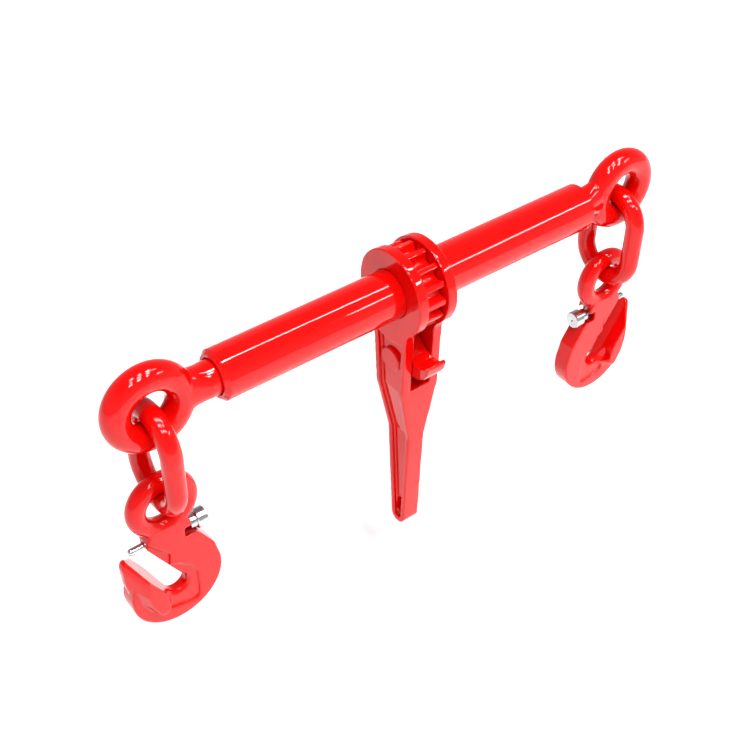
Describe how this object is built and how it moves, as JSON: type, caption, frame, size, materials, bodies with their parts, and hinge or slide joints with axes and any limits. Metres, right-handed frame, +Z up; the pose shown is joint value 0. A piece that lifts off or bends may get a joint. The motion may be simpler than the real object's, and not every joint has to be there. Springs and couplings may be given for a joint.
{
  "type": "ratchet load binder",
  "caption": "Ratchet load binder: a threaded barrel turned by a lever draws in two eyebolts that carry links and slotted grab hooks with sprung safety pins.",
  "frame": {"origin": "on the barrel's axis, at the middle plane of the ratchet wheel", "axes": "+X runs along the barrel to the right eye, +Z is up with the lever hanging to -Z, and -Y is the front, where the pawl's thumb lever stands out"},
  "size_m": [0.4588, 0.0636, 0.2453],
  "materials": {
    "red_coat": "glossy coat over forged steel",
    "zinc": "bright zinc plate",
    "bare_steel": "oiled steel",
    "spring_steel": "oiled spring wire"
  },
  "bodies": {
    "barrel": {"barrel_tube": "red_coat", "ratchet_wheel": "red_coat"},
    "handle": {"handle": "red_coat", "pawl_rivet": "red_coat", "detent_spring": "spring_steel"},
    "pawl": {"pawl": "red_coat"},
    "plunger": {"detent_plunger": "bare_steel"},
    "stop_left": {"stop_washer_left": "bare_steel"},
    "eyebolt_left": {"eyebolt_left": "red_coat", "end_screw_left": "bare_steel"},
    "link_left": {"link_left": "red_coat"},
    "hook_left": {"hook_left": "red_coat", "spring_bush_left": "bare_steel", "pin_spring_left": "spring_steel"},
    "pin_left": {"safety_pin_left": "zinc", "pin_knob_left": "zinc", "pin_collar_left": "zinc"},
    "stop_right": {"stop_washer_right": "bare_steel"},
    "eyebolt_right": {"eyebolt_right": "red_coat", "end_screw_right": "bare_steel"},
    "link_right": {"link_right": "red_coat"},
    "hook_right": {"hook_right": "red_coat", "spring_bush_right": "bare_steel", "pin_spring_right": "spring_steel"},
    "pin_right": {"safety_pin_right": "zinc", "pin_knob_right": "zinc", "pin_collar_right": "zinc"}
  },
  "joints": [
    {"name": "handle_swing", "type": "hinge", "parent": "barrel", "child": "handle", "pos_m": [0, 0, 0], "axis": [1, 0, 0], "continuous": true},
    {"name": "pawl_rock", "type": "hinge", "parent": "handle", "child": "pawl", "pos_m": [0, -0.00152, -0.05438], "axis": [1, 0, 0], "range_deg": [-4, 12]},
    {"name": "plunger_slide", "type": "slide", "parent": "handle", "child": "plunger", "axis": [0, -0.0279, -0.9996], "range_m": [0, 0.0025], "stiffness_N_per_m": 1500, "springref_m": -0.002, "deforming": ["detent_spring"]},
    {"name": "screw_travel_left", "type": "slide", "parent": "barrel", "child": "stop_left", "axis": [-1, 0, 0], "range_m": [0, 0.0701]},
    {"name": "screw_turn_left", "type": "hinge", "parent": "stop_left", "child": "eyebolt_left", "pos_m": [-0.1945, 0, 0], "axis": [1, 0, 0], "range_deg": [0, 5040]},
    {"name": "link_swing_left", "type": "hinge", "parent": "eyebolt_left", "child": "link_left", "pos_m": [-0.1945, 0, 0], "axis": [0, 1, 0], "range_deg": [-45, 105]},
    {"name": "hook_swing_left", "type": "hinge", "parent": "link_left", "child": "hook_left", "pos_m": [-0.1945, 0, -0.0803], "axis": [0, 1, 0], "range_deg": [-45, 70]},
    {"name": "pin_pull_left", "type": "slide", "parent": "hook_left", "child": "pin_left", "axis": [1, 0, 0], "range_m": [0, 0.012], "stiffness_N_per_m": 350, "springref_m": -0.012, "deforming": ["pin_spring_left"]},
    {"name": "screw_travel_right", "type": "slide", "parent": "barrel", "child": "stop_right", "axis": [1, 0, 0], "range_m": [0, 0.0701]},
    {"name": "screw_turn_right", "type": "hinge", "parent": "stop_right", "child": "eyebolt_right", "pos_m": [0.1965, 0, 0], "axis": [1, 0, 0], "range_deg": [-1, 5041]},
    {"name": "link_swing_right", "type": "hinge", "parent": "eyebolt_right", "child": "link_right", "pos_m": [0.1965, 0, 0], "axis": [0, -1, 0], "range_deg": [-45, 105]},
    {"name": "hook_swing_right", "type": "hinge", "parent": "link_right", "child": "hook_right", "pos_m": [0.1965, 0, -0.0803], "axis": [0, -1, 0], "range_deg": [-45, 70]},
    {"name": "pin_pull_right", "type": "slide", "parent": "hook_right", "child": "pin_right", "axis": [-1, 0, 0], "range_m": [0, 0.012], "stiffness_N_per_m": 350, "springref_m": -0.012, "deforming": ["pin_spring_right"]}
  ],
  "couplings": [
    {"joint": "screw_travel_left", "follows": "screw_turn_left", "m_per_rad": 0.00079577},
    {"joint": "screw_travel_right", "follows": "screw_turn_left", "m_per_rad": 0.00079577},
    {"joint": "screw_turn_right", "follows": "screw_turn_left", "ratio": 1}
  ]
}
